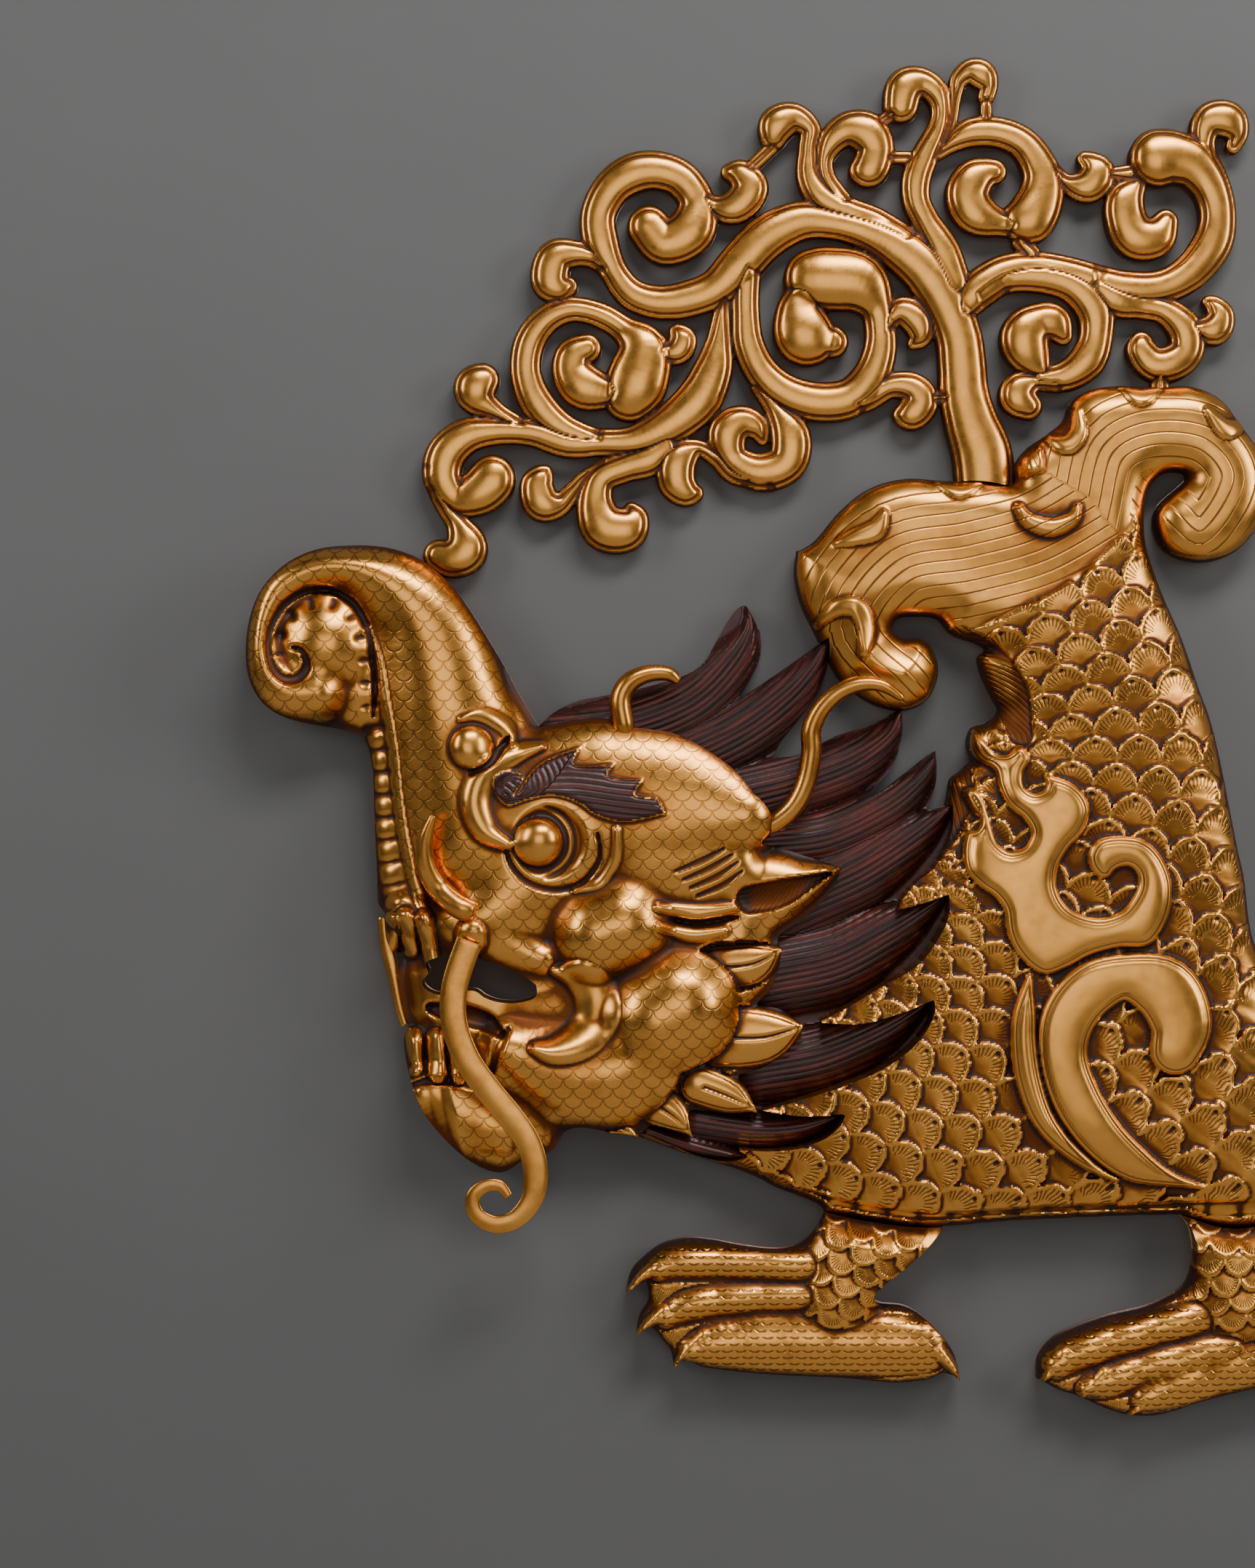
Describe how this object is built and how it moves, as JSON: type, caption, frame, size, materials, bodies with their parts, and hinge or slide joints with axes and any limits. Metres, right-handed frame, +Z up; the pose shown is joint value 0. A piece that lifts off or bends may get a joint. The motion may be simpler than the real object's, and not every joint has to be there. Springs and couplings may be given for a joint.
{
  "type": "wall hanging sculpture",
  "caption": "Hammered, gilt copper dragon wall hanging in relief, with curled trunk, dark mane, scaled body and an openwork scroll crest.",
  "frame": {"origin": "point on the body's flat back, in the wall plane, about which the dragon hangs", "axes": "+X to the viewer's right, +Y into the wall, +Z up; the relief faces -Y"},
  "size_m": [0.759, 0.062, 0.9377],
  "materials": {
    "gilt_copper": "worn gilding on hammered copper, brown in the creases",
    "dark_lacquered_copper": "dark brown lacquer with rubbed red streaks"
  },
  "bodies": {
    "root": {"head": "gilt_copper", "mane": "dark_lacquered_copper", "body": "gilt_copper", "scroll_crest": "gilt_copper", "front_leg": "gilt_copper", "hind_leg": "gilt_copper", "horn_near": "gilt_copper", "horn_far": "gilt_copper", "tusk": "gilt_copper", "whisker_near": "gilt_copper", "whisker_far": "gilt_copper"}
  },
  "joints": []
}
